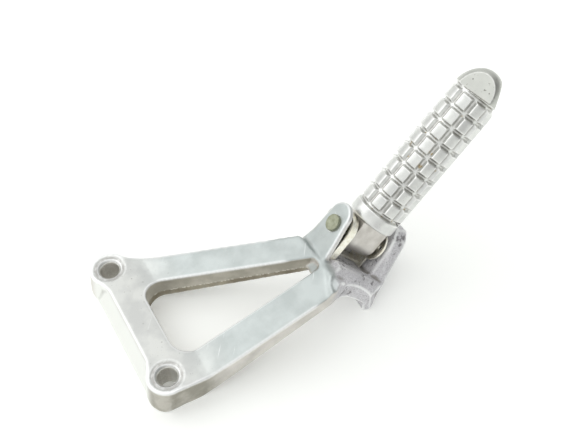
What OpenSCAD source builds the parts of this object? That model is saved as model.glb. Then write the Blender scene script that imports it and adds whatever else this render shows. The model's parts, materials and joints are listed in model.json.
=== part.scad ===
// Passenger foot peg on a triangular cast bracket, with its folding joint and detent.
// Millimetres. The bracket's back face is z = 0 and z grows outwards, towards the rider's side.
// The two mounting holes lie on the y axis, and the arms run along +x to the clevis.

/* [Mounting holes] */
// Distance between the two mounting holes
hole_pitch = 75; // [60:0.5:90]
// Diameter of a mounting hole, clear for an M10 bolt
hole_d = 10.5; // [8:0.1:12]
// Diameter of the machined seat round a hole
seat_d = 17.5; // [14:0.1:20]
// Depth of the machined seat
seat_h = 0.5; // [0.2:0.1:2]
// Diameter of the countersink at a hole's mouth
sink_d = 13.2; // [11:0.1:16]
// Outside diameter of a boss
boss_d = 21.5; // [18:0.5:26]

/* [Bracket] */
// Thickness of the bar that carries the two holes
bar_h = 17; // [12:0.5:22]
// How steeply the arms' front face rises towards the clevis, in degrees
arm_rise = 16; // [0:0.5:25]
// How steeply the upper arm's back face rises, in degrees
upper_back_rise = 18.5; // [0:0.5:24]
// How steeply the lower arm's back face rises, in degrees
lower_back_rise = 21; // [0:0.5:24]
// Distance from the holes to the bend where the arms start to rise
bend_x = 18; // [10:1:30]
// Distance from the holes to the bracket's outer long edge, on the left
bar_left = 5.8; // [4:0.1:9]
// Width of the hole bar between its edge and the opening
bar_w = 15.6; // [12:0.1:22]
// How far the left side wall leans out at its foot
skirt = 6.2; // [0:0.1:8]
// Position of the lower arm's outer edge below the origin
lower_out = 49.6; // [44:0.1:56]
// Position of the lower arm's inner edge below the origin
lower_in = 31.2; // [26:0.1:36]
// Width of the upper arm
upper_w = 15.6; // [12:0.1:20]
// Slope of the upper arm towards the clevis, in degrees
upper_slope = 29.3; // [15:0.1:35]
// Radius of the opening's upper corner, beside the hole bar
open_top_r = 7.5; // [3:0.5:9]
// Radius of the opening's lower corner, beside the hole bar
open_low_r = 11; // [3:0.5:13]
// Thickness of the web left in front of the pockets in the back
web = 5; // [3:0.5:8]
// Thickness of the walls round the pockets in the back
wall = 4.4; // [3:0.1:6]
// Radius of the round notch in the lower side, beside the clevis
notch_r = 16; // [10:0.5:20]
// Radius that blends the notch into the lower arm
notch_blend = 10; // [4:0.5:14]

/* [Clevis] */
// Distance from the peg's axis to the flat ear's inner face
near_in = 17.1; // [15.5:0.1:18]
// Thickness of the flat ear
near_t = 3.4; // [2.5:0.1:5]
// Distance from the peg's axis to the heavy ear's inner face
far_in = 15.5; // [15:0.1:18]
// Thickness of the heavy ear
far_t = 9; // [5:0.1:10]
// Depth of the slot's floor below the pin
floor_z = 15.5; // [14:0.1:18]
// Level of the ledge in front of the slot, below the pin
ledge_z = 13.7; // [12.5:0.1:15]
// Depth of the block's underside below the pin
base_z = 27.5; // [25:0.5:30]

/* [Pin] */
// Diameter of the pivot pin
pin_d = 8; // [6:0.1:8]
// Diameter of the pin's flat head
head_d = 9.2; // [8.8:0.1:12]
// Height of the pin's head
head_h = 1.7; // [1:0.1:3]
// Gap between the pin and the peg's bore, on the radius
run_gap = 0.05; // [0.01:0.01:0.1]

/* [Peg] */
// Diameter of the peg over its pads
peg_d = 27; // [25:0.5:28]
// Depth of the grooves between the pads
groove_h = 2; // [1:0.1:3]
// Width of a ring groove at its floor
ring_floor = 1.3; // [0.8:0.1:2]
// How much wider a ring groove is at its mouth, on each side
ring_flank = 0.8; // [0.2:0.05:1.5]
// Width of a long groove at its floor
long_floor = 1.2; // [0.8:0.1:2]
// How much wider a long groove is at its mouth, on each side
long_flank = 1.3; // [0.2:0.05:2]
// Rows of pads along the peg
rows = 8; // [4:1:8]
// Distance from one row to the next
row_pitch = 9.47; // [7:0.01:9.5]
// Columns of pads round the tread side
columns = 5; // [3:1:7]
// Angle from one column to the next
column_pitch = 39.5; // [30:0.5:45]
// Direction that the tread faces, round the peg from the pin's axis
tread_at = -150; // [-180:1:180]
// Distance from the pin to the collar's lower edge
collar_z = 10.3; // [10.2:0.1:14]
// Distance from the pin to the first groove
first_z = 18.9; // [16:0.1:20]
// Distance from the pin to the very end of the tip
tip_z = 110.5; // [108:0.5:120]
// Width of the tongue between the ears
tongue_w = 20; // [16:0.5:20]
// Thickness of the tongue
tongue_t = 15; // [13:0.5:16]
// How far the tongue reaches below the pin
tongue_low = 9; // [8:0.1:9.4]
// How far the peg folds, in degrees
fold = 80; // [45:1:84]

/* [Detent] */
// Thickness of the stainless sheet
sheet_t = 1.2; // [0.8:0.1:1.5]
// Gap between the two arms of the sheet
sheet_gap = 24; // [23.8:0.1:24.4]
// Radius of the sheet's round arms
sheet_r = 9.8; // [9:0.1:9.9]
// Width of the rim turned out round the near arm
rim_w = 4.4; // [2:0.1:4.8]
// Diameter of the detent ball
ball_d = 3.6; // [3:0.1:3.8]
// Distance of the ball from the pin
ball_z = 7.2; // [7:0.1:7.5]
// Thickness of a thrust washer
washer_t = 1.8; // [1:0.1:1.8]

/* [Hidden] */
$fn = 96;
eps = 0.01;
pin_at = [123.0, -21.2, 33.8];
hole_y = hole_pitch / 2;
pin_r = pin_d / 2;
peg_r = peg_d / 2;
core_r = peg_r - groove_h;
near_out = near_in + near_t;
far_out = far_in + far_t;
last_z = first_z + rows * row_pitch;
open_left = bar_w - bar_left;
// where the upper arm's inner edge crosses the bend
upper_y0 = 17.2;
// the notch's axis, below the lower arm's outer edge
notch_at = [104.5, -lower_out - 10.6];
// the wall behind the tongue, which stops the peg when it is out
stop_y = tongue_t / 2 + 0.1;
// how far out the ball stands, a hair clear of the sheet
ball_out = sheet_gap / 2 - 0.05;
// how far the ball can be pushed in, with a little to spare
sink = 2.4;
// the depth of the ball's bore, and the spring's wire
bore_h = 13;
wire_d = 0.7;

// ---- helpers ----

// Puts its children in the clevis's own frame: x along the pin, z along the peg.
module at_clevis() {
    translate(pin_at)
        rotate([-4, 48, 0])
            rotate([0, 0, -12])
                children();
}

// A plate that lies across the pin, drawn as y and z, from one distance along the pin to another.
module across(from, to) {
    translate([from, 0, 0])
        rotate([90, 0, 90])
            linear_extrude(height = to - from)
                children();
}

// A box between two corners.
module block(low, high) {
    translate(low)
        cube(high - low);
}

// A bar along the pin, from one distance to another.
module along_pin(r, from, to) {
    translate([from, 0, 0])
        rotate([0, 90, 0])
            cylinder(r = r, h = to - from);
}

// A direction with a length of one.
function unit(v) = v / norm(v);

// An outline with each corner rounded by its own radius.
function rounded(points, radii) = [
    for (i = [0 : len(points) - 1])
        let (
            corner = points[i],
            before = unit(points[(i + len(points) - 1) % len(points)] - corner),
            after = unit(points[(i + 1) % len(points)] - corner),
            half = acos(before * after) / 2,
            inward = unit(before + after),
            middle = corner + inward * radii[i] / sin(half),
            way = atan2(-inward.y, -inward.x),
            side = sign(before.x * after.y - before.y * after.x)
        )
        for (s = [-1 : 0.25 : 1])
            let (angle = way - side * s * (90 - half))
                middle + radii[i] * [cos(angle), sin(angle)]
];

// ---- bracket ----

// The height of the upper arm's inner edge, and a point on its outer edge.
function upper_in(x) = upper_y0 - (x - bend_x) * tan(upper_slope);
function upper_top(x) = [x, upper_in(x) + upper_w / cos(upper_slope)];

// The outline seen from the front, without its opening.
module plan_outline() {
    for (side = [-1, 1])
        translate([0, side * hole_y])
            circle(d = boss_d);
    polygon(rounded(
        [
            [-bar_left, hole_y - 13], [-10.2, hole_y - 3.4], [5.5, hole_y + 9.2],
            [12, hole_y + 2.6], upper_top(24), [93, -7.7], [99, -11], [112, -14],
            [104, -lower_out], [30, -lower_out], [12, -lower_out + 0.6], [-1, -lower_out + 1.35],
            [-10.2, -hole_y + 3.4], [-bar_left, -hole_y + 13]
        ],
        [16, 0.5, 0.5, 16, 60, 4, 1, 1, 1, 30, 30, 0.5, 0.5, 16]
    ));
}

// The three-sided opening.
module opening() {
    end_x = 93;
    polygon(rounded(
        [
            [open_left, -lower_in], [end_x, -lower_in], [end_x, upper_in(end_x)],
            [open_left, upper_in(open_left)]
        ],
        [open_low_r, 2.2, 2.6, open_top_r]
    ));
}

// The side view of the bar and one arm: flat under the holes, then bent up.
module side_profile(back_rise) {
    run = 110 - bend_x;
    rotate([90, 0, 0])
        linear_extrude(height = 140, center = true)
            polygon([
                [-20, 0], [bend_x - 4, 0],
                [110, (run + 4) * tan(back_rise)],
                [110, bar_h + run * tan(arm_rise)],
                [bend_x, bar_h], [-20, bar_h]
            ]);
}

// The bar and both arms as one solid shape, before the outline cuts it.
module arm_slopes() {
    intersection() {
        side_profile(upper_back_rise);
        block([-30, -27, -1], [120, 80, 90]);
    }
    intersection() {
        side_profile(lower_back_rise);
        block([-30, -80, -1], [120, -27 + eps, 90]);
    }
}

// The left side wall, which leans out towards the back, with its two conical corners.
module left_skirt() {
    rotate([90, 0, 0])
        linear_extrude(height = hole_pitch, center = true)
            polygon([[-bar_left - skirt, 0], [-bar_left, bar_h], [0, bar_h], [0, 0]]);
    intersection() {
        for (side = [-1, 1])
            translate([0, side * hole_y, 0])
                cylinder(r1 = bar_left + skirt + 0.6, r2 = boss_d / 2, h = bar_h);
        block([-20, -lower_out + 1, -1], [2, lower_out - 1, 20]);
    }
}

// Hollows in the back, which leave a web in front and walls round the edge.
module back_pockets() {
    intersection() {
        translate([0, 0, -web])
            side_profile(lower_back_rise);
        linear_extrude(height = 60)
            union() {
                polygon([
                    [-bar_left + wall, 22], [-bar_left + wall, -22],
                    [open_left - wall, -22], [open_left - wall, 22]
                ]);
                polygon([
                    [26, -lower_out + wall], [82, -lower_out + wall],
                    [82, -lower_in - wall], [26, -lower_in - wall]
                ]);
                polygon([
                    [24, upper_in(24) + wall], [80, upper_in(80) + wall],
                    upper_top(80) - [0, wall], upper_top(24) - [0, wall]
                ]);
            }
    }
}

// The plate with its two arms.
module arms() {
    difference() {
        union() {
            intersection() {
                linear_extrude(height = 70)
                    difference() {
                        plan_outline();
                        opening();
                    }
                arm_slopes();
                // the arms end inside the clevis block
                at_clevis()
                    block([-90, -90, -150], [near_out, 90, 9.5 - base_z]);
            }
            left_skirt();
        }
        back_pockets();
    }
}

// The flat ear, round at the top and wide where it meets the arms.
module near_ear() {
    across(-near_out, -near_in)
        union() {
            translate([0.8, 4])
                circle(r = 8.4);
            polygon([
                [9.2, 4], [9.6, -9.5], [13, 4 - base_z], [-12.8, 4 - base_z],
                [-12.3, -17.5], [-10.6, -8.5], [-7.6, 4]
            ]);
        }
}

// The heavy ear, which flares from the slot to its outer side.
module far_ear() {
    hull() {
        across(far_in, far_in + 0.5)
            polygon([
                [-4.8, 14.7], [4, 14.7], [9, 8.5], [11.5, -9.5], [11.5, 6 - base_z],
                [-12.5, 6 - base_z], [-10.5, -8.5], [-8.6, 8.1]
            ]);
        across(far_out - 2.2, far_out)
            polygon([
                [-4.4, 15.9], [3.4, 15.7], [8.5, 9.5], [11, -9.5], [11, 4 - base_z],
                [-18.6, 4 - base_z], [-15.8, -12], [-13.3, -7], [-11.4, -2], [-10.4, 4], [-9.4, 10.5]
            ]);
    }
}

// The block under the slot, which carries both ears and meets both arms.
module base_block() {
    intersection() {
        difference() {
            across(-near_out, far_out)
                polygon([
                    [12, -ledge_z - 3], [7, -ledge_z], [-16, -ledge_z], [-18.4, -ledge_z - 1.1],
                    [-23, -ledge_z - 4.8], [-26, -ledge_z - 8], [-34, -ledge_z - 9.5],
                    [-34, -base_z], [12, -base_z]
                ]);
            // the far front corner is taken off
            linear_extrude(height = 100, center = true)
                polygon([[25.5, -14.7], [9, -27.7], [9, -60], [40, -60], [40, -14.7]]);
        }
        // the left shoulder slopes down to the lower arm's front face
        rotate([90, 0, 0])
            linear_extrude(height = 120, center = true)
                polygon([
                    [-near_out - 1, -base_z - 1], [-near_out - 1, -ledge_z - 5.4],
                    [-14.2, -ledge_z - 0.9], [-11.8, -ledge_z + 1], [60, -ledge_z + 1],
                    [60, -base_z - 1]
                ]);
        // nothing stands out past the lower arm
        rotate([0, 0, 12])
            rotate([4, 0, 0])
                rotate([0, -48, 0])
                    translate(-pin_at)
                        block([0, -lower_out, -20], [160, 30, 100]);
    }
}

// The small foot that the block rests on, beside the notch.
module foot() {
    linear_extrude(height = 15)
        polygon(rounded(
            [[112, -46.5], [115, -48.2], [118.8, -47], [123, -41], [126, -30], [112, -34]],
            [0.5, 1, 1.5, 6, 1, 1]
        ));
}

// The round notch, and the corner that its blend takes off the lower arm.
module notch() {
    reach = notch_r + notch_blend;
    blend_y = -lower_out + notch_blend;
    blend_x = notch_at.x - sqrt(pow(reach, 2) - pow(blend_y - notch_at.y, 2));
    touch = notch_at + ([blend_x, blend_y] - notch_at) * notch_r / reach;
    translate([0, 0, -1])
        linear_extrude(height = 90)
            union() {
                translate(notch_at)
                    circle(r = notch_r);
                difference() {
                    polygon([
                        [blend_x, -lower_out - 5], [blend_x, -lower_out - eps], touch,
                        [touch.x + 2, -lower_out - 5]
                    ]);
                    translate([blend_x, blend_y])
                        circle(r = notch_blend);
                }
            }
}

module bracket() {
    color([0.74, 0.75, 0.76])
        difference() {
            union() {
                arms();
                at_clevis() {
                    base_block();
                    near_ear();
                    far_ear();
                    // the wall that the tongue leans on when the peg is out
                    block([-near_in - 1, stop_y, 1 - base_z], [far_in + 1, 12, 3.5]);
                }
                intersection() {
                    foot();
                    at_clevis()
                        block([-60, -90, -90], [far_out, 90, 10 - base_z]);
                }
            }
            for (side = [-1, 1])
                translate([0, side * hole_y, 0]) {
                    translate([0, 0, -1])
                        cylinder(d = hole_d, h = bar_h + 2);
                    translate([0, 0, bar_h - seat_h])
                        cylinder(d = seat_d, h = seat_h + 1);
                    translate([0, 0, bar_h - seat_h - (sink_d - hole_d) / 2])
                        cylinder(d1 = hole_d, d2 = sink_d + 0.4, h = (sink_d - hole_d) / 2 + 0.2);
                }
            notch();
            at_clevis() {
                // the slot, its floor, and the way the peg folds
                block([-near_in, -40, -ledge_z], [far_in, stop_y, 40]);
                block([-near_in, -10.2, -floor_z], [far_in, stop_y, 1]);
                block([-near_in, 0, 3.5], [far_in, 40, 40]);
                // room for the tongue's end as it swings
                along_pin(tongue_low + 0.4, -tongue_w / 2 - 0.5, tongue_w / 2 + 0.5);
                along_pin(pin_r + 0.05, -60, 60);
                along_pin(8.6, far_out - 1, 60);
            }
            // everything stands on the same surface
            block([-100, -200, -60], [300, 200, 0]);
        }
}

// ---- peg ----

// A groove's section, with sloping flanks, from the core out past the pads.
module groove_section(floor_w, flank) {
    slope = flank / groove_h;
    top = groove_h + 1;
    polygon([
        [0, -floor_w / 2], [0, floor_w / 2],
        [top, floor_w / 2 + top * slope], [top, -floor_w / 2 - top * slope]
    ]);
}

// The ring grooves, which stop at the edges of the tread.
module ring_grooves() {
    half = columns * column_pitch / 2;
    intersection() {
        for (i = [0 : rows])
            translate([0, 0, first_z + i * row_pitch])
                rotate_extrude()
                    translate([core_r, 0])
                        groove_section(ring_floor, ring_flank);
        rotate([0, 0, tread_at])
            linear_extrude(height = 200)
                polygon(concat([[0, 0]], [
                    for (a = [-half : half / 6 : half]) 30 * [cos(a), sin(a)]
                ]));
    }
}

// The straight grooves between the columns of pads.
module long_grooves() {
    for (i = [0 : columns])
        rotate([0, 0, tread_at + (i - columns / 2) * column_pitch])
            translate([core_r, 0, first_z])
                linear_extrude(height = last_z - first_z)
                    groove_section(long_floor, long_flank);
}

// The turned outline of the peg: collar, tread and domed tip.
module turned() {
    dome = 17;
    rotate_extrude()
        polygon(concat(
            [[0, collar_z], [peg_r - 1.2, collar_z], [peg_r - 0.35, collar_z + 0.35]],
            [[peg_r, collar_z + 1.2]],
            [for (a = [0 : 7.5 : 82.5]) [peg_r * cos(a), tip_z - dome + dome * sin(a)]],
            [[0, tip_z]]
        ));
}

// A flat on the tip that faces one way, starts at a distance from the axis and leans in.
module tip_flat(facing, distance, start_z, lean) {
    rotate([0, 0, facing])
        translate([distance, 0, start_z])
            rotate([0, -lean, 0])
                block([0, -30, -60], [30, 30, 60]);
}

module peg_bar() {
    color([0.83, 0.84, 0.84])
        at_clevis()
            difference() {
                union() {
                    turned();
                    // the tongue, round at its lower end
                    across(-tongue_w / 2, tongue_w / 2)
                        union() {
                            translate([0, tongue_t / 2 - tongue_low])
                                circle(d = tongue_t);
                            translate([-tongue_t / 2, tongue_t / 2 - tongue_low])
                                square([tongue_t, collar_z + 2 - tongue_t / 2 + tongue_low]);
                        }
                }
                along_pin(pin_r + run_gap, -30, 30);
                translate([ball_out - bore_h, 0, ball_z])
                    rotate([0, 90, 0])
                        cylinder(d = ball_d + 0.1, h = 20);
                ring_grooves();
                long_grooves();
                // the flat on the tread side, above a step that leans a little
                intersection() {
                    tip_flat(tread_at + 3, 9.4, last_z, 8);
                    translate([0, 0, last_z + 1.6])
                        rotate([-2, -4, 0])
                            translate([-40, -40, 0])
                                cube([80, 80, 60]);
                }
                // the long bevel on the underside, which keeps the tip clear of the road
                tip_flat(tread_at + 110, peg_r, last_z - 5, 22);
            }
}

// ---- detent and pin ----

// One arm of the sheet, seen along the pin: round, with a tail down to the floor.
module sheet_arm(inset) {
    circle(r = sheet_r - inset);
    translate([inset - sheet_r, -floor_z + 0.05])
        square([sheet_r + stop_y - 0.15 - 2 * inset, floor_z]);
}

// The U-shaped sheet that lines the slot: two round arms and a strip between them.
module detent_plate() {
    inner = sheet_gap / 2;
    outer = inner + sheet_t;
    color([0.86, 0.85, 0.79])
        at_clevis()
            difference() {
                union() {
                    // the near arm is a shallow pan with its rim turned out
                    difference() {
                        across(-inner - rim_w, -inner)
                            sheet_arm(0);
                        across(-inner - rim_w - 1, -outer)
                            sheet_arm(sheet_t);
                    }
                    // the far arm is a plain disc with a narrow tail
                    across(inner, outer)
                        union() {
                            circle(r = sheet_r);
                            translate([-4, 0.05 - floor_z])
                                square([stop_y + 3.85, floor_z]);
                        }
                    block([-inner - eps, 1, 0.05 - floor_z], [inner + eps, stop_y - 0.15, sheet_t - floor_z]);
                }
                along_pin(pin_r + 0.15, -20, 20);
                block([-20, stop_y - 0.15, -30], [20, 30, 30]);
                for (turn = [0, fold])
                    rotate([turn, 0, 0])
                        translate([inner - 1, 0, ball_z])
                            rotate([0, 90, 0])
                                cylinder(d = 0.72 * ball_d, h = 4);
            }
}

module pivot_pin() {
    color([0.59, 0.61, 0.51])
        at_clevis()
            difference() {
                union() {
                    along_pin(pin_r, -near_out - eps, far_out + 2.6);
                    along_pin(head_d / 2, -near_out - head_h, -near_out);
                }
                // the groove for the clip
                difference() {
                    along_pin(pin_r + 1, far_out + 0.05, far_out + 0.95);
                    along_pin(pin_r - 1, far_out - 1, far_out + 2);
                }
            }
}

module thrust_washer() {
    color([0.72, 0.73, 0.74])
        at_clevis()
            for (side = [-1, 1]) {
                mid = side * (tongue_w + sheet_gap) / 4;
                difference() {
                    along_pin(pin_r + 1.1, mid - washer_t / 2, mid + washer_t / 2);
                    along_pin(pin_r + 0.3, -30, 30);
                }
            }
}

module clip_washer() {
    color([0.70, 0.71, 0.70])
        at_clevis()
            difference() {
                along_pin(8, far_out - 1 + eps, far_out);
                along_pin(pin_r + 0.15, far_out - 3, far_out + 3);
            }
}

module retaining_clip() {
    color([0.33, 0.33, 0.34])
        at_clevis()
            difference() {
                along_pin(7.2, far_out + 0.1, far_out + 0.9);
                along_pin(pin_r - 0.95, far_out - 1, far_out + 2);
                // the open mouth, and the two notches that leave three prongs
                block([far_out - 1, -2.4, -9], [far_out + 2, 2.4, 0]);
                for (side = [-1, 1])
                    rotate([side * 62, 0, 0])
                        block([far_out - 1, -1.3, pin_r - 1.2], [far_out + 2, 1.3, 5.6]);
            }
}

module detent_ball() {
    color([0.80, 0.81, 0.82])
        at_clevis()
            translate([ball_out - ball_d / 2, 0, ball_z])
                sphere(d = ball_d);
}

// The spring behind the ball, drawn as a stack of closed coils at its pressed length.
module detent_spring() {
    coils = 9;
    coil_r = (ball_d - wire_d) / 2 - 0.1;
    length = bore_h - ball_d - sink;
    color([0.62, 0.63, 0.64])
        at_clevis()
            for (i = [0 : coils - 1])
                translate([
                    ball_out - bore_h + 0.05 + wire_d / 2 + i * (length - wire_d) / (coils - 1),
                    0, ball_z
                ])
                    rotate([0, 90, 0])
                        rotate_extrude()
                            translate([coil_r, 0])
                                circle(d = wire_d);
}

bracket();
peg_bar();
detent_plate();
pivot_pin();
thrust_washer();
clip_washer();
retaining_clip();
detent_ball();
detent_spring();
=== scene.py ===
# %% [markdown]
# A folding foot peg on its cast bracket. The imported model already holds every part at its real
# size and place, and this script gives the parts the looks of the real thing: soft cast edges,
# a rough casting skin on the clevis block, bright tumbled pads, machined bolt seats, a lathe-made
# pin and a pressed sheet liner.

# %% Load the frame
import json
import math

import bpy
import numpy as np
from mathutils import Matrix, Vector


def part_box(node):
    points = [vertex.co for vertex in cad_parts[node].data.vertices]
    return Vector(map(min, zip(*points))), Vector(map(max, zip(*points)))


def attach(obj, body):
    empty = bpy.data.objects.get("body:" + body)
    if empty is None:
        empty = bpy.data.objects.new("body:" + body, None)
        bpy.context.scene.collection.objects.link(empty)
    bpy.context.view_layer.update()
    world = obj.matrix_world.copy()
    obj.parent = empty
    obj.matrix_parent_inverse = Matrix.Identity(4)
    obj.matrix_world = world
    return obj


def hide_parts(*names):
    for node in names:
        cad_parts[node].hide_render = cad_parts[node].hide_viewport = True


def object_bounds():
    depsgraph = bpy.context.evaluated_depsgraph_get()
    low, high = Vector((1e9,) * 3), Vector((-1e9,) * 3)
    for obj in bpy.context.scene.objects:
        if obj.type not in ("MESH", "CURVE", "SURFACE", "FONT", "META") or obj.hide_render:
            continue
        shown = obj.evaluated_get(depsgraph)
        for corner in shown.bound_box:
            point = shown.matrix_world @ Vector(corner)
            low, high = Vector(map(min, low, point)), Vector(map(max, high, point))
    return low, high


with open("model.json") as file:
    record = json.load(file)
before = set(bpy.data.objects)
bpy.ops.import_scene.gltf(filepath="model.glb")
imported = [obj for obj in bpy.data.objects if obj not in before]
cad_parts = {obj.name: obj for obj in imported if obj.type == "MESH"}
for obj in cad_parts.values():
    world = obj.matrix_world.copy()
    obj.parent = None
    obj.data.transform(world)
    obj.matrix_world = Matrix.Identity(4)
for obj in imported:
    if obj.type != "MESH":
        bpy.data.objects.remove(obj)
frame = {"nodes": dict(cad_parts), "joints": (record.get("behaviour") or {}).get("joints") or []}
cad_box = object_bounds()
nodes = frame["nodes"]
MM = 0.001
print("parts in the frame:", sorted(nodes))

# %% [markdown]
# The clevis and the peg lean out of the bracket at compound angles. The hinge in the packed
# record gives the pin's place, and three turns give the directions along the pin (x), across the
# slot (y) and along the peg (z). Everything on the clevis is easier to describe in that frame.

# %% The clevis frame
hinge = next(j for j in frame["joints"] if j["name"] == "peg_fold")
clevis = (
    Matrix.Translation(Vector(hinge["pos_m"]))
    @ Matrix.Rotation(math.radians(48), 4, "Y")
    @ Matrix.Rotation(math.radians(-4), 4, "X")
    @ Matrix.Rotation(math.radians(-12), 4, "Z")
)
to_clevis = np.array(clevis.inverted())
print("pin centre in mm:", [round(v / MM, 1) for v in hinge["pos_m"]])


def in_clevis(points):
    """Points of the row frame in metres, as millimetres in the clevis frame."""
    return (points @ to_clevis[:3, :3].T + to_clevis[:3, 3]) / MM


# %% [markdown]
# Two small helpers carry the materials. One turns a hex colour, as a painter would name it, into
# the linear values that a shader wants. The other adds one shader node, sets its values and
# plugs other nodes into it, so that a material reads like a recipe. The others are the steps of
# such a recipe: a stretched range, a mix of colours, a speckle of noise and a stack of bumps.


# %% Helpers for materials
def linear(hex_colour):
    """An sRGB hex colour as linear RGBA."""
    parts = [int(hex_colour[i : i + 2], 16) / 255 for i in (1, 3, 5)]
    return [p / 12.92 if p <= 0.04045 else ((p + 0.055) / 1.055) ** 2.4 for p in parts] + [1]


def add(tree, kind, links=(), **settings):
    """Adds a node. A setting is a property, or an input's value if its name starts with in_."""
    node = tree.nodes.new(kind)
    for name, value in settings.items():
        if name.startswith("in_"):
            key = name[3:]
            node.inputs[int(key) if key.isdigit() else key.replace("_", " ")].default_value = value
        else:
            setattr(node, name, value)
    for key, source in dict(links).items():
        tree.links.new(source, node.inputs[key])
    return node


def new_metal(name):
    """An empty bare-metal material: its tree, its shader and the part's own coordinates."""
    material = bpy.data.materials.new(name)
    material.use_nodes = True
    tree = material.node_tree
    shader = tree.nodes["Principled BSDF"]
    shader.inputs["Metallic"].default_value = 1.0
    return material, tree, shader, add(tree, "ShaderNodeTexCoord")


def ramp(tree, source, low, high, to_low=0.0, to_high=1.0):
    """Stretches the values between low and high to another range, 0 to 1 unless told."""
    return add(
        tree,
        "ShaderNodeMapRange",
        {0: source},
        clamp=True,
        in_1=low,
        in_2=high,
        in_3=to_low,
        in_4=to_high,
    ).outputs[0]


def mix(tree, share, first, second):
    """Mixes two colours, each a hex name or another node's output."""
    node = add(tree, "ShaderNodeMix", {0: share}, data_type="RGBA")
    for socket, value in ((6, first), (7, second)):
        if isinstance(value, str):
            node.inputs[socket].default_value = linear(value)
        else:
            tree.links.new(value, node.inputs[socket])
    return node.outputs[2]


def speckle(tree, place, size_mm, detail=3.0, stretch=(1, 1, 1), turn=(0, 0, 0)):
    """Noise whose blotches are about size_mm across, longer where stretch is below 1."""
    turned = add(tree, "ShaderNodeMapping", {0: place}, in_2=turn).outputs[0]
    mapped = add(tree, "ShaderNodeMapping", {0: turned}, in_3=stretch).outputs[0]
    return add(
        tree, "ShaderNodeTexNoise", {0: mapped}, in_Scale=1 / (size_mm * MM), in_Detail=detail
    ).outputs[0]


def both(tree, first, second, way="MULTIPLY"):
    """Two values joined by a product, or by a sum if told."""
    return add(tree, "ShaderNodeMath", {0: first, 1: second}, operation=way).outputs[0]


def bumps(tree, layers):
    """Stacks bump layers, each a height, its strength and its depth in millimetres."""
    normal = None
    for height, strength, depth in layers:
        node = add(
            tree, "ShaderNodeBump", {"Height": height}, in_Strength=strength, in_Distance=depth * MM
        )
        if normal:
            tree.links.new(normal, node.inputs["Normal"])
        normal = node.outputs[0]
    return normal


def measured(tree, name):
    """A value that the mesh itself carries at each of its points."""
    return add(tree, "ShaderNodeAttribute", attribute_name=name).outputs["Fac"]


print("material helpers ready")

# %% [markdown]
# The bracket is a pressure die casting in bare aluminium. Its front has been linished, which
# leaves a cool, satin face with faint strokes along the arms. Its walls keep the die's warmer,
# duller skin, and light and shade are painted on them: the open left side is painted nearly
# white, as lit, the walls at the lower left corner are painted darker, as shade, and the walls
# inside the triangle, where a dotted parting line runs, are painted olive-grey, as shade, darker
# still below that line. The clevis block is much rougher, violet-grey and pitted, and its thick
# oxide skin scatters light more than it mirrors, so it is less of a metal there. Outer edges
# get a painted highlight and sharp corners painted shade. The mesh carries the values that
# steer all this: edge, rough, pit, seam, skirt, corner, inner_wall_shade and low.


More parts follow.
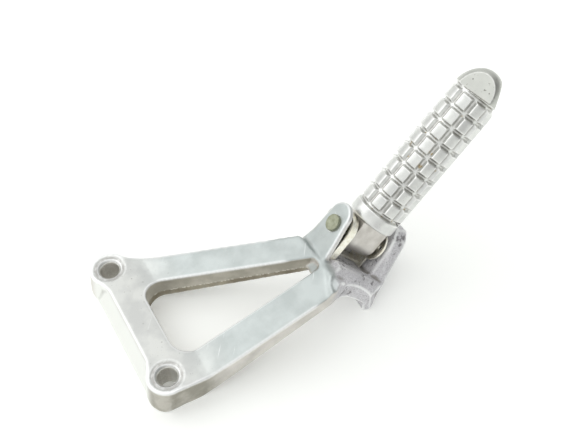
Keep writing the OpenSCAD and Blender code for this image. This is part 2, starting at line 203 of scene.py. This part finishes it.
# %% Die-cast aluminium, linished in front
def die_cast_aluminium():
    material, tree, shader, place = new_metal("die_cast_aluminium_linished")
    own = place.outputs["Object"]
    facing = add(tree, "ShaderNodeSeparateXYZ", {0: place.outputs["Normal"]})
    along = add(tree, "ShaderNodeSeparateXYZ", {0: own})
    front = ramp(tree, facing.outputs[2], 0.5, 0.72)
    edge, rough, pit, seam = (measured(tree, n) for n in ("edge", "rough", "pit", "seam"))
    skirt, inner_wall_shade, low, corner = (measured(tree, n) for n in ("skirt", "inner_wall_shade", "low", "corner"))
    cloud = speckle(tree, own, 11, 6)
    grain = speckle(tree, own, 0.7, 4)
    strokes = speckle(tree, own, 0.5, 3, (0.04, 1, 1), (0, 0, math.radians(8)))
    scratch = speckle(tree, own, 1.1, 2, (0.05, 1, 0.3), (0, 0, math.radians(-52)))
    nick = speckle(tree, own, 1.5, 2)
    side = mix(tree, ramp(tree, cloud, 0.35, 0.65), "#CCC9C3", "#E0DDD8")
    # Painted light: the left-facing walls of the open left side are made nearly white, as if lit.
    side = mix(tree, skirt, side, "#EFF0ED")
    # Painted shade: the walls at the lower left corner are made darker grey.
    side = mix(tree, corner, side, mix(tree, ramp(tree, cloud, 0.42, 0.58), "#A5A298", "#C6C3BB"))
    # Painted shade: the inner walls of the triangle are made olive-grey, darker still below the
    # parting line.
    inside = mix(tree, ramp(tree, cloud, 0.4, 0.6), "#B2AEA3", "#C6C2B8")
    inside = mix(tree, low, inside, mix(tree, ramp(tree, cloud, 0.42, 0.6), "#8C8474", "#ABA595"))
    side = mix(tree, inner_wall_shade, side, inside)
    arm = mix(tree, ramp(tree, cloud, 0.38, 0.62), "#B3B9B8", "#C0C6C5")
    bar = mix(tree, ramp(tree, cloud, 0.4, 0.6), "#C8C9C7", "#D6D7D4")
    bar = mix(tree, ramp(tree, nick, 0.70, 0.74, 0, 0.6), bar, "#8F8C88")
    face = mix(tree, ramp(tree, along.outputs[0], 0.008, 0.034), bar, arm)
    skin = mix(tree, front, side, face)
    skin = mix(tree, both(tree, front, ramp(tree, scratch, 0.70, 0.76, 0, 0.5)), skin, "#E6E8E8")
    block = mix(tree, ramp(tree, cloud, 0.35, 0.65), "#D0CFD2", "#E4E3E6")
    block = mix(tree, ramp(tree, grain, 0.35, 0.62, 0.6, 0), block, "#A3A1A5")
    skin = mix(tree, rough, skin, block)
    skin = mix(tree, ramp(tree, pit, 0.3, 0.95, 0, 0.8), skin, "#7C797B")
    skin = mix(tree, seam, skin, "#E4E2DA")
    # Painted shade in sharp corners and creases, and a painted highlight along outer edges.
    skin = mix(tree, ramp(tree, edge, -0.12, -0.7, 0, 0.75), skin, "#7E7972")
    skin = mix(tree, ramp(tree, edge, 0.22, 0.85, 0, 0.9), skin, "#FBFCFC")
    tree.links.new(skin, shader.inputs["Base Color"])
    dull = ramp(tree, grain, 0.3, 0.7, 0.40, 0.50)
    dull = both(tree, dull, ramp(tree, front, 0, 1, 0.10, 0.0), "ADD")
    dull = both(tree, dull, ramp(tree, rough, 0, 1, 0, 0.12), "ADD")
    tree.links.new(ramp(tree, rough, 0, 1, 1.0, 0.2), shader.inputs["Metallic"])
    tree.links.new(dull, shader.inputs["Roughness"])
    layers = [(grain, 0.22, 0.10), (strokes, 0.18, 0.05), (both(tree, grain, rough), 0.3, 0.25)]
    tree.links.new(bumps(tree, layers), shader.inputs["Normal"])
    return material


cast_metal = die_cast_aluminium()
print("made", cast_metal.name)

# %% [markdown]
# The peg itself is a finer casting that was tumbled bright. Its pads carry the shoe, so their
# tops are polished, and a little tan dirt hides in the grooves. Their outer edges get a painted
# highlight and the corners of the grooves painted shade. The tongue was left as cast and has gone
# tan-grey with old grease.


# %% Tumbled aluminium
def tumbled_aluminium():
    material, tree, shader, place = new_metal("tumbled_aluminium")
    own = place.outputs["Object"]
    grain = speckle(tree, own, 0.6, 4)
    cloud = speckle(tree, own, 7, 5)
    crumbs = speckle(tree, own, 2.6, 2)
    edge, tongue, tip = (measured(tree, n) for n in ("edge", "tongue", "tip"))
    dent = speckle(tree, own, 1.7, 2)
    skin = mix(tree, ramp(tree, cloud, 0.38, 0.62), "#D4D5D3", "#E3E4E1")
    skin = mix(tree, ramp(tree, tip, 0, 1, 0, 0.6), skin, "#B9BBB3")
    skin = mix(tree, both(tree, tip, ramp(tree, dent, 0.66, 0.72)), skin, "#85857E")
    # Painted shade in the grooves and sharp corners between the pads.
    skin = mix(tree, ramp(tree, edge, -0.12, -0.6, 0, 0.6), skin, "#86817A")
    dirt = both(tree, ramp(tree, crumbs, 0.64, 0.70), ramp(tree, edge, -0.05, -0.5))
    skin = mix(tree, dirt, skin, "#9A8355")
    # A painted highlight along the pads' outer edges.
    skin = mix(tree, ramp(tree, edge, 0.2, 0.9, 0, 0.85), skin, "#FCFCFA")
    skin = mix(tree, tongue, skin, mix(tree, ramp(tree, cloud, 0.35, 0.65), "#C6C2BC", "#DDDAD5"))
    tree.links.new(skin, shader.inputs["Base Color"])
    dull = ramp(tree, grain, 0.3, 0.7, 0.27, 0.38)
    dull = both(tree, dull, ramp(tree, tongue, 0, 1, 0, 0.16), "ADD")
    tree.links.new(dull, shader.inputs["Roughness"])
    tree.links.new(bumps(tree, [(grain, 0.25, 0.08)]), shader.inputs["Normal"])
    return material


peg_metal = tumbled_aluminium()
print("made", peg_metal.name)

# %% [markdown]
# A spot-facing cutter leaves bright rings round each bolt hole, and below them the bore is dull
# with old thread grease, so it mirrors less. Both come from how far a point is from the axis.

# %% Spot-faced aluminium
BORE_R = 5.25
RING_PITCH = 0.45


def spot_faced_aluminium(hole_r):
    material, tree, shader, place = new_metal("spot_faced_aluminium")
    own = place.outputs["Object"]
    flat = add(tree, "ShaderNodeVectorMath", {0: own}, operation="MULTIPLY", in_1=(1, 1, 0))
    length = add(tree, "ShaderNodeVectorMath", {0: flat.outputs[0]}, operation="LENGTH")
    radius = length.outputs["Value"]
    phase = 2 * math.pi / (RING_PITCH * MM)
    turns = add(tree, "ShaderNodeMath", {0: radius}, operation="MULTIPLY", in_1=phase)
    rings = add(tree, "ShaderNodeMath", {0: turns.outputs[0]}, operation="SINE").outputs[0]
    cloud = speckle(tree, own, 3, 5)
    bright = mix(tree, ramp(tree, cloud, 0.35, 0.65), "#E3E4E3", "#F3F4F3")
    halo = mix(tree, ramp(tree, cloud, 0.42, 0.6), "#B4B3B0", "#D2D2D0")
    skin = mix(tree, ramp(tree, radius, (hole_r + 1.35) * MM, (hole_r + 1.6) * MM), bright, halo)
    bore = mix(tree, ramp(tree, cloud, 0.38, 0.6), "#DAD7CD", "#FFFFFA")
    skin = mix(tree, ramp(tree, radius, (hole_r + 0.12) * MM, (hole_r + 0.3) * MM), bore, skin)
    tree.links.new(skin, shader.inputs["Base Color"])
    tree.links.new(ramp(tree, cloud, 0.3, 0.7, 0.28, 0.42), shader.inputs["Roughness"])
    clean = ramp(tree, radius, (hole_r + 0.12) * MM, (hole_r + 0.3) * MM, 0.3, 1.0)
    tree.links.new(clean, shader.inputs["Metallic"])
    layers = [(rings, 0.35, 0.05), (cloud, 0.3, 0.1)]
    tree.links.new(bumps(tree, layers), shader.inputs["Normal"])
    return material


seat_metal = spot_faced_aluminium(BORE_R)
print("made", seat_metal.name)

# %% [markdown]
# The small steel parts differ only in colour and gloss, so one recipe makes them all: a tinted
# metal with a fine rolled or turned grain, handling stains and brighter rubbed edges.


# %% Plated and stainless steel
def plated_steel(name, light, dark, rubbed, smooth, dull):
    material, tree, shader, place = new_metal(name)
    own = place.outputs["Object"]
    stain = speckle(tree, own, 2.2, 5)
    grain = speckle(tree, own, 0.35, 3)
    skin = mix(tree, ramp(tree, stain, 0.38, 0.64), light, dark)
    skin = mix(tree, ramp(tree, grain, 0.62, 0.75, 0, 0.5), skin, rubbed)
    tree.links.new(skin, shader.inputs["Base Color"])
    tree.links.new(ramp(tree, grain, 0.3, 0.7, smooth, dull), shader.inputs["Roughness"])
    tree.links.new(bumps(tree, [(grain, 0.25, 0.05), (stain, 0.2, 0.1)]), shader.inputs["Normal"])
    return material


steels = {
    slot_name: plated_steel(*recipe)
    for slot_name, *recipe in (
        ("stainless", "pressed_stainless_sheet", "#FBF9F0", "#ECE8D8", "#FFFFFA", 0.24, 0.38),
        ("zinc_steel", "olive_chromated_zinc", "#A8AB97", "#959883", "#B9BBA8", 0.42, 0.56),
        ("plain_steel", "clear_zinc_plate", "#C9C9C5", "#AFAFAA", "#E4E4E0", 0.28, 0.42),
        ("spring_steel", "oiled_spring_steel", "#4A4A4B", "#363637", "#777778", 0.30, 0.45),
        ("bearing_steel", "polished_ball_steel", "#DADBDC", "#C6C7C8", "#EEEEEE", 0.08, 0.16),
    )
}
print("made", ", ".join(m.name for m in steels.values()))

# %% [markdown]
# A casting has no sharp edges. The exact model does, so each casting is rebuilt as one even skin
# of small faces, a voxel remesh, and then relaxed. Relaxing rounds edges and fills corners, and a
# vertex group says how much at each point: not at all near a bore, so that the bores stay true.


# %% Rounding the castings
def as_array(mesh, what="co"):
    """The points, or the normals, of a mesh as an array of triples."""
    values = np.empty(len(mesh.vertices) * 3)
    mesh.vertices.foreach_get(what, values)
    return values.reshape(-1, 3)


def baked(piece, name):
    """A new object with the piece's modifiers applied. The old one is removed."""
    bpy.context.view_layer.update()
    shaped = piece.evaluated_get(bpy.context.evaluated_depsgraph_get())
    mesh = bpy.data.meshes.new_from_object(shaped)
    bpy.data.objects.remove(piece)
    made = bpy.data.objects.new(name, mesh)
    bpy.context.scene.collection.objects.link(made)
    return made


def voxel_skin(node, voxel_mm):
    """A copy of a CAD node as one even skin of small faces."""
    piece = nodes[node].copy()
    piece.data = nodes[node].data.copy()
    piece.parent = None
    bpy.context.scene.collection.objects.link(piece)
    remesh = piece.modifiers.new("skin", "REMESH")
    remesh.mode, remesh.voxel_size = "VOXEL", voxel_mm * MM
    return baked(piece, node + "_skin")


def relaxed(piece, softness, passes):
    """The piece with its edges and corners rounded, where softness from 0 to 1 says how much."""
    levels = 10
    group = piece.vertex_groups.new(name="softness")
    steps = np.round(softness * levels).astype(int)
    for step in range(1, levels + 1):
        chosen = np.flatnonzero(steps == step)
        if len(chosen):
            group.add(chosen.tolist(), step / levels, "REPLACE")
    relax = piece.modifiers.new("relax", "SMOOTH")
    relax.factor, relax.iterations, relax.vertex_group = 0.5, passes, "softness"
    return baked(piece, piece.name)


def smooth_step(values, low, high):
    """0 below low, 1 above high, and a soft rise between them."""
    t = np.clip((values - low) / (high - low), 0, 1)
    return t * t * (3 - 2 * t)


print("remesh helpers ready")

# %% [markdown]
# The rough skin of the block is real relief, so the mesh itself is pushed in and out. For that
# the script needs smooth random values at points in space: random numbers on a grid, blended
# between the grid's corners.


# %% Random relief and worn edges
def blotches(points_mm, size_mm, seed):
    """Smooth random values from 0 to 1, in blotches about size_mm across."""
    cells = 32
    grid = np.random.default_rng(seed).random((cells, cells, cells))
    scaled = points_mm / size_mm
    cell = np.floor(scaled).astype(int)
    part = scaled - cell
    part = part * part * (3 - 2 * part)
    total = np.zeros(len(points_mm))
    for dx in (0, 1):
        for dy in (0, 1):
            for dz in (0, 1):
                share = np.abs(1 - dx - part[:, 0]) * np.abs(1 - dy - part[:, 1])
                share *= np.abs(1 - dz - part[:, 2])
                corner = (cell + (dx, dy, dz)) % cells
                total += share * grid[corner[:, 0], corner[:, 1], corner[:, 2]]
    return total


def push(piece, depth_mm):
    """Moves each point along its normal, by its own depth in millimetres."""
    moved = as_array(piece.data) + as_array(piece.data, "normal") * depth_mm[:, None] * MM
    piece.data.vertices.foreach_set("co", moved.ravel())
    piece.data.update()


def carry(piece, name, values):
    """Stores a value for each point, for the material to read."""
    layer = piece.data.attributes.new(name, "FLOAT", "POINT")
    layer.data.foreach_set("value", values.astype(np.float32))


def edge_values(piece, spread, full_mm):
    """+1 on sharp outer edges and -1 in sharp corners, from how far each point stands out."""
    points, normals = as_array(piece.data), as_array(piece.data, "normal")
    ends = np.empty(len(piece.data.edges) * 2, dtype=int)
    piece.data.edges.foreach_get("vertices", ends)
    ends = np.concatenate([ends.reshape(-1, 2), ends.reshape(-1, 2)[:, ::-1]])
    count = np.bincount(ends[:, 0], minlength=len(points)).clip(1)

    def around(values):
        return np.bincount(ends[:, 0], values[ends[:, 1]], minlength=len(points)) / count

    calm = points.copy()
    for _ in range(spread):
        calm = np.stack([around(calm[:, i]) for i in range(3)], axis=1)
    return np.clip(((points - calm) * normals).sum(axis=1) / (full_mm * MM), -1, 1)


def finish_piece(piece, body, material):
    """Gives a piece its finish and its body."""
    piece.data.materials.clear()
    piece.data.materials.append(material)
    piece.data.polygons.foreach_set("use_smooth", [True] * len(piece.data.polygons))
    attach(piece, body)
    print(piece.name, len(piece.data.polygons), "faces")


# %% [markdown]
# The bracket: skin, softness, relief, then the values for its material. The block and the heavy
# ear are everything right of the arms that isn't the flat ear. Where the arms run into the block
# the metal flows in one soft sweep, so that root is relaxed once more, for much longer.

# %% The bracket
HOLE_Y, SEAT_R, BAR_H = 37.5, 8.75, 17.0
BRACKET_VOXEL, SOFTNESS, EDGE_PASSES, ROOT_PASSES = 0.64, 0.45, 9, 40
COARSE_DEPTH, FINE_DEPTH, PIT_DEPTH, WOBBLE_DEPTH = 0.22, 0.24, 0.45, 0.08
ROOT_STARTS, ROOT_ENDS, ROOT_TOP = (78, 84), (95, 99), (-13, -10)
BLOCK_STARTS, FLAT_EAR_ENDS = (84, 96), (-19.5, -15)
BACK_RISES_AT, BACK_LEAN = 14, math.radians(18.5)
FRONT_RISES_AT, FRONT_LEAN = 18, math.radians(16)
SEAM_LEVEL, SEAM_HALF_WIDTH = 0.37, 0.022


def points_of(piece):
    """A piece's points in millimetres, in the row frame and in the clevis frame."""
    where = as_array(piece.data) / MM
    return where, in_clevis(where * MM)


bracket_skin = voxel_skin("bracket", BRACKET_VOXEL)
where, beside = points_of(bracket_skin)
from_hole = np.hypot(where[:, 0], np.abs(where[:, 1]) - HOLE_Y)
from_pin = np.hypot(beside[:, 1], beside[:, 2])
softness = SOFTNESS * smooth_step(from_hole, 9.0, 12.5) * smooth_step(from_pin, 5.0, 6.5)
bracket_skin = relaxed(bracket_skin, softness, EDGE_PASSES)

where, beside = points_of(bracket_skin)
root = smooth_step(where[:, 0], *ROOT_STARTS) * (1 - smooth_step(where[:, 0], *ROOT_ENDS))
root *= 1 - smooth_step(beside[:, 2], *ROOT_TOP)
bracket_skin = relaxed(bracket_skin, root, ROOT_PASSES)

where, beside = points_of(bracket_skin)
x, y, z = where.T
facing_x, facing_y, facing_z = as_array(bracket_skin.data, "normal").T
rough = smooth_step(x, *BLOCK_STARTS) * smooth_step(beside[:, 0], *FLAT_EAR_ENDS)
coarse, fine = blotches(where, 3.2, seed=1), blotches(where, 1.3, seed=2)
relief = rough**2 * (COARSE_DEPTH * coarse + FINE_DEPTH * fine)
dots, patches = blotches(where, 0.95, seed=3), blotches(where, 5.5, seed=4)
pit = smooth_step(dots * patches, 0.34, 0.50) * rough**2
wobble = WOBBLE_DEPTH * blotches(where, 9, seed=5) * smooth_step(from_hole, 9.5, 12)
# edge steers painted highlights on outer edges and painted shade in sharp corners.
edge = edge_values(bracket_skin, 4, 0.22) * (1 + 0.6 * rough) * (1 - 0.85 * root)
push(bracket_skin, -(relief + PIT_DEPTH * pit + wobble))

# %% [markdown]
# The walls' tones follow from where a point is and which way its wall faces; several of them are
# painted light and shade. Its level runs from 0 at the back of the casting to 1 at its front, a
# wall is upright, and the inner walls are those of the triangle.

# %% The tones of the bracket's walls, with painted light and shade
back_z = np.maximum(x - BACK_RISES_AT, 0) * math.tan(BACK_LEAN)
front_z = BAR_H + np.maximum(x - FRONT_RISES_AT, 0) * math.tan(FRONT_LEAN)
level = (z - back_z) / (front_z - back_z)
upright = smooth_step(1 - np.abs(facing_z), 0.35, 0.7)
inner = (facing_y < -0.3) & (y > -24) | (facing_y > 0.3) & (y < -8)
inner |= (facing_x > 0.3) & (np.abs(y + 9) < 22) & (x < 40)
# Painted shade on the inner walls of the triangle.
inner_wall_shade = upright * inner * smooth_step(x, 8, 12) * (1 - smooth_step(x, 92, 96))
seam = (np.abs(level - SEAM_LEVEL) < SEAM_HALF_WIDTH) * upright * (x > 16) * (x < 93)
seam *= smooth_step(blotches(where, 0.9, seed=6), 0.35, 0.6) * (0.35 + 0.65 * inner_wall_shade)
# Painted light on the left-facing walls of the open left side, which face the window.
skirt = upright * smooth_step(-facing_x, 0.45, 0.8) * (x < 14)
skirt *= 1 - 0.8 * smooth_step(np.abs(y + 4), 36, 42)
# Painted shade on the walls at the lower left corner.
corner = upright * (1 - smooth_step(y, -45, -34)) * (1 - smooth_step(x, 14, 26))
for name, values in (
    ("skirt", skirt * (1 - corner)),
    ("corner", corner),
    ("inner_wall_shade", inner_wall_shade),
    # low: painted shade on the part of a wall below the parting line.
    ("low", 1 - smooth_step(level, 0.33, 0.40)),
    ("rough", rough),
    ("pit", pit),
    ("seam", seam),
    ("edge", edge),
):
    carry(bracket_skin, name, values)
finish_piece(bracket_skin, "mount_bracket", cast_metal)
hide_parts("bracket")

# %% [markdown]
# The peg: a finer skin, only lightly relaxed, so that the pads keep their crisp bevels. Flat
# spots need few faces, so the skin is thinned again at the end. Its value "tongue" marks the
# part below the collar, and "tip" the scuffed end past the last row of pads.

# %% The peg
PEG_VOXEL, PEG_SOFTNESS, PEG_PASSES, PEG_THINNED_TO = 0.33, 0.9, 2, 0.56
COLLAR_STARTS, TIP_STARTS = (9.6, 10.6), (95, 96.5)
peg_skin = voxel_skin("peg_bar", PEG_VOXEL)
beside = in_clevis(as_array(peg_skin.data))
from_pin = np.hypot(beside[:, 1], beside[:, 2])
softness = PEG_SOFTNESS * np.maximum(smooth_step(from_pin, 5, 6), beside[:, 2] > 5)
peg_skin = relaxed(peg_skin, softness, PEG_PASSES)
beside = in_clevis(as_array(peg_skin.data))
push(peg_skin, -0.07 * blotches(beside, 2.4, seed=8))
carry(peg_skin, "tongue", 1 - smooth_step(beside[:, 2], *COLLAR_STARTS))
carry(peg_skin, "tip", smooth_step(beside[:, 2], *TIP_STARTS))
# edge steers painted highlights on the pads' edges, and painted shade and tan dirt in the grooves.
carry(peg_skin, "edge", edge_values(peg_skin, 3, 0.12))
thin = peg_skin.modifiers.new("thin", "DECIMATE")
thin.ratio = PEG_THINNED_TO
peg_skin = baked(peg_skin, peg_skin.name)
finish_piece(peg_skin, "foot_peg", peg_metal)
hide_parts("peg_bar")

# %% [markdown]
# Round parts come off a lathe, so they are made the same way here: half a section, turned about
# an axis. The seats are thin rings with a countersink, laid in the spot faces, and their bores
# reach down through the bracket with a fine dirty ripple.

# %% A lathe
SIDES = 72
RIPPLE_PITCH, RIPPLE_DEPTH = 0.5, 0.12


def lathe(name, section_mm, place, closed=False):
    """Turns a section of (radius, height) points about the place's z axis."""
    verts = []
    for i in range(SIDES):
        a = 2 * math.pi * i / SIDES
        verts += [(r * math.cos(a) * MM, r * math.sin(a) * MM, h * MM) for r, h in section_mm]
    n = len(section_mm)
    faces = []
    for i in range(SIDES):
        here, there = i * n, (i + 1) % SIDES * n
        for j in range(n if closed else n - 1):
            k = (j + 1) % n
            faces.append((here + j, there + j, there + k, here + k))
    mesh = bpy.data.meshes.new(name)
    mesh.from_pydata(verts, [], faces)
    bpy.context.view_layer.update()
    piece = bpy.data.objects.new(name, mesh)
    piece.matrix_world = place
    bpy.context.scene.collection.objects.link(piece)
    weld = piece.modifiers.new("weld", "WELD")
    weld.merge_threshold = 0.001 * MM
    return piece


def bore_ripple(top, bottom, radius):
    """The section of a bore, with a shallow ripple from old threads."""
    steps = int((top - bottom) / RIPPLE_PITCH)
    return [
        (radius + RIPPLE_DEPTH * (i % 2), top + (bottom - top) * i / steps)
        for i in range(steps + 1)
    ]


seat_z = BAR_H - 0.5
seat_section = [
    (SEAT_R + 0.05, seat_z - 0.3),
    (SEAT_R + 0.02, seat_z + 0.04),
    (SEAT_R - 0.3, seat_z + 0.06),
    (BORE_R + 1.5, seat_z + 0.06),
    (BORE_R + 1.3, seat_z - 0.02),
    (BORE_R + 0.15, seat_z - 1.2),
    *bore_ripple(seat_z - 1.5, 0.4, BORE_R - 0.06),
    (BORE_R + 0.4, 0.4),
    (BORE_R + 0.4, seat_z - 1.6),
    (BORE_R + 1.2, seat_z - 0.8),
]
for name, side in (("seat_upper", 1), ("seat_lower", -1)):
    place = Matrix.Translation((0, side * HOLE_Y * MM, 0))
    seat = lathe(name, seat_section, place, closed=True)
    finish_piece(seat, "mount_bracket", seat_metal)

# %% [markdown]
# The pin: a round bar with a flat head whose rim is broken by a small radius, a faint dish in the
# middle from the forming tool, a groove for the clip and a chamfered end. Its axis is the clevis
# frame's x, so the lathe's z is turned on to it.

# %% The pivot pin
NEAR_OUT, FAR_OUT, HEAD_R, HEAD_H, PIN_R = 20.5, 24.5, 4.6, 1.7, 4.0
GROOVE_DEPTH, GROOVE_WIDTH = 1, 0.9
along_pin = clevis @ Matrix.Rotation(math.pi / 2, 4, "Y")
head = -NEAR_OUT - HEAD_H
groove = FAR_OUT + 0.05
end = FAR_OUT + 2.6
dish = [(0, head + 0.25), (1.2, head + 0.22), (2.0, head + 0.05), (3.9, head), (4.3, head + 0.07)]
rim = [(HEAD_R - 0.08, head + 0.28), (HEAD_R, head + 0.6), (HEAD_R, -NEAR_OUT)]
shank = [
    (PIN_R, -NEAR_OUT),
    (PIN_R, groove),
    (PIN_R - GROOVE_DEPTH, groove),
    (PIN_R - GROOVE_DEPTH, groove + GROOVE_WIDTH),
    (PIN_R, groove + GROOVE_WIDTH),
    (PIN_R, end - 0.5),
    (PIN_R - 0.5, end),
    (0, end),
]
pin = lathe("pivot_pin_turned", dish + rim + shank, along_pin)
finish_piece(pin, "mount_bracket", steels["zinc_steel"])
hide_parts("pivot_pin")

# %% [markdown]
# The spring behind the ball: one wire wound round the bore's axis. A curve with a round bevel
# gives the wire its thickness, and it is turned into a mesh.

# %% The detent spring
WIRE_R, COIL_R, COILS, BALL_Z = 0.35, 1.35, 9, 7.2
SPRING_LENGTH, STEPS_PER_COIL = 5.8, 16
low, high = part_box("detent_spring")
middle = in_clevis(np.array([(Vector(low) + Vector(high)) / 2]))[0]
path = bpy.data.curves.new("detent_spring_wire", "CURVE")
path.dimensions, path.bevel_depth, path.bevel_resolution = "3D", WIRE_R * MM, 3
line = path.splines.new("POLY")
steps = COILS * STEPS_PER_COIL
line.points.add(steps)
for i in range(steps + 1):
    angle = 2 * math.pi * i / STEPS_PER_COIL
    along = middle[0] - SPRING_LENGTH / 2 + SPRING_LENGTH * i / steps
    spot = Vector((along, COIL_R * math.cos(angle), BALL_Z + COIL_R * math.sin(angle)))
    line.points[i].co = (*(clevis @ (spot * MM)), 1)
wire = bpy.data.objects.new("detent_spring_wire", path)
bpy.context.scene.collection.objects.link(wire)
spring = baked(wire, "detent_spring_coiled")
finish_piece(spring, "foot_peg", steels["spring_steel"])
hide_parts("detent_spring")

# %% [markdown]
# The sheet liner, the washers, the clip and the ball keep their exact shapes. A small bevel
# breaks their edges, as tumbling does after pressing, so that they catch a line of light.

# %% The small steel parts
for node, steel, bevel_mm in (
    ("detent_plate", "stainless", 0.18),
    ("thrust_washer", "plain_steel", 0.12),
    ("clip_washer", "plain_steel", 0.12),
    ("retaining_clip", "spring_steel", 0.10),
    ("detent_ball", "bearing_steel", 0),
):
    part = nodes[node]
    part.data.materials.clear()
    part.data.materials.append(steels[steel])
    if bevel_mm:
        bevel = part.modifiers.new("broken_edges", "BEVEL")
        bevel.width, bevel.segments, bevel.limit_method = bevel_mm * MM, 2, "ANGLE"
        bevel.angle_limit = math.radians(40)
    print(node, "in", steels[steel].name)

# %% [markdown]
# A pale table, a bright soft room and two large lamps. Bare metal shows only what it mirrors, so
# the room is light almost everywhere, a little greyer low down, and darker on the right, which
# gives the peg's far pads and flanks their tone. The table is so wide that its rim never shows.

# %% Table and light
TABLE_HALF_WIDTH, TABLE_GAP = 30, 0.2 * MM
AIM_MM = (60, -10, 15)


def softbox(name, place_mm, size_mm, watts):
    """A square lamp that faces the object."""
    lamp = bpy.data.lights.new(name, "AREA")
    lamp.energy, lamp.size = watts, size_mm * MM
    holder = bpy.data.objects.new(name, lamp)
    holder.location = Vector(place_mm) * MM
    aim = Vector(AIM_MM) * MM - holder.location
    holder.rotation_euler = aim.to_track_quat("-Z", "Y").to_euler()
    bpy.context.scene.collection.objects.link(holder)


floor_mesh = bpy.data.meshes.new("table")
w = TABLE_HALF_WIDTH
floor_mesh.from_pydata([(-w, -w, 0), (w, -w, 0), (w, w, 0), (-w, w, 0)], [], [(0, 1, 2, 3)])
table_top = bpy.data.objects.new("table", floor_mesh)
bpy.context.scene.collection.objects.link(table_top)
table_top.location.z = cad_box[0].z - TABLE_GAP
paper, _, paper_shader, _ = new_metal("white_table")
for socket, value in (
    ("Metallic", 0),
    ("Base Color", linear("#FBFCFA")),
    ("Roughness", 0.8),
    ("Emission Color", linear("#FBFDFA")),
    ("Emission Strength", 0.12),
):
    paper_shader.inputs[socket].default_value = value
floor_mesh.materials.append(paper)

softbox("window", (-420, 420, 520), 700, 1.2)
softbox("ceiling", (260, -60, 900), 1000, 1.0)

world = bpy.data.worlds.new("studio")
bpy.context.scene.world = world
world.use_nodes = True
room = world.node_tree
direction = add(room, "ShaderNodeTexCoord").outputs["Generated"]
height = add(room, "ShaderNodeSeparateXYZ", {0: direction}).outputs[2]
sky = mix(room, ramp(room, height, -0.1, 0.6), "#D2D2D0", "#FDFEFD")
right = (0.76, -0.6, 0.25)
aside = add(
    room, "ShaderNodeVectorMath", {0: direction}, operation="DOT_PRODUCT", in_1=right
).outputs["Value"]
sky = mix(room, ramp(room, aside, 0.35, 0.9), sky, "#9A9A99")
room.links.new(sky, room.nodes["Background"].inputs[0])
room.nodes["Background"].inputs[1].default_value = 1.05
print("table and lamps ready")

# %% [markdown]
# The camera looks down from the front left, from about half a metre, as one leans over a table.

# %% Camera
EYE_MM, LOOK_MM = (-48.3, -248.2, 408.6), (102.8, 15.1, 20)
camera_data = bpy.data.cameras.new("camera")
camera_data.sensor_width = 36
camera_data.lens = 53.5
camera = bpy.data.objects.new("camera", camera_data)
camera.location = Vector(EYE_MM) * MM
sight = Vector(LOOK_MM) * MM - camera.location
camera.rotation_euler = sight.to_track_quat("-Z", "Y").to_euler()
bpy.context.scene.collection.objects.link(camera)
bpy.context.scene.camera = camera
bpy.context.scene.view_settings.view_transform = "Standard"
print("camera at", [round(v, 3) for v in camera.location])
